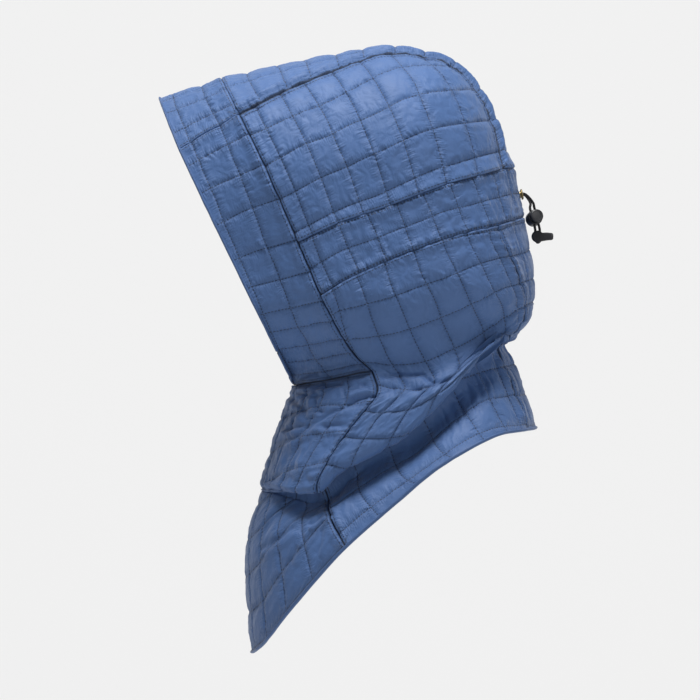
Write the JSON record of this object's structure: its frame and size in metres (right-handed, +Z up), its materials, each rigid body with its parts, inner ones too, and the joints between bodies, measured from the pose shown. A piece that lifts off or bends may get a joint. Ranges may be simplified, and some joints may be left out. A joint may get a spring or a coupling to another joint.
{
  "type": "quilted hood",
  "caption": "Pull-on quilted hood with a visor band, padded crown, a drawcord channel round the back, a neck that folds over, and a cape with a long front bib.",
  "frame": {"origin": "where the top of the head meets the lining inside the crown", "axes": "+X towards the wearer's left, +Y towards the wearer's back, +Z up along the wearer's height"},
  "size_m": [0.229, 0.3376, 0.519],
  "materials": {
    "shell": "matte woven polyester with a faint sheen, padded and quilted",
    "edging": "the same cloth, folded and topstitched",
    "eyelet": "dull metal",
    "cord": "black braided elastic",
    "lock": "black moulded plastic, slightly glossy"
  },
  "bodies": {
    "hood": {"visor_crown": "shell", "visor_side_left": "shell", "visor_side_right": "shell", "crown_panel": "shell", "upper_side_left": "shell", "upper_side_right": "shell", "cord_channel": "shell", "lower_side_left": "shell", "lower_side_right": "shell", "nape_back": "shell", "bib": "shell", "rim_edge": "edging", "hem_edge": "edging", "eyelet_left": "eyelet", "eyelet_right": "eyelet", "cord_left": "cord", "cord_right": "cord", "cord_lock_body": "lock", "cord_end": "lock"},
    "lock_button": {"cord_lock_button": "lock"}
  },
  "joints": [
    {"name": "lock_button_slide", "type": "slide", "parent": "hood", "child": "lock_button", "axis": [-0.9593, -0.1998, -0.1998], "range_m": [0, 0.0025], "stiffness_N_per_m": 400, "springref_m": -0.004}
  ]
}
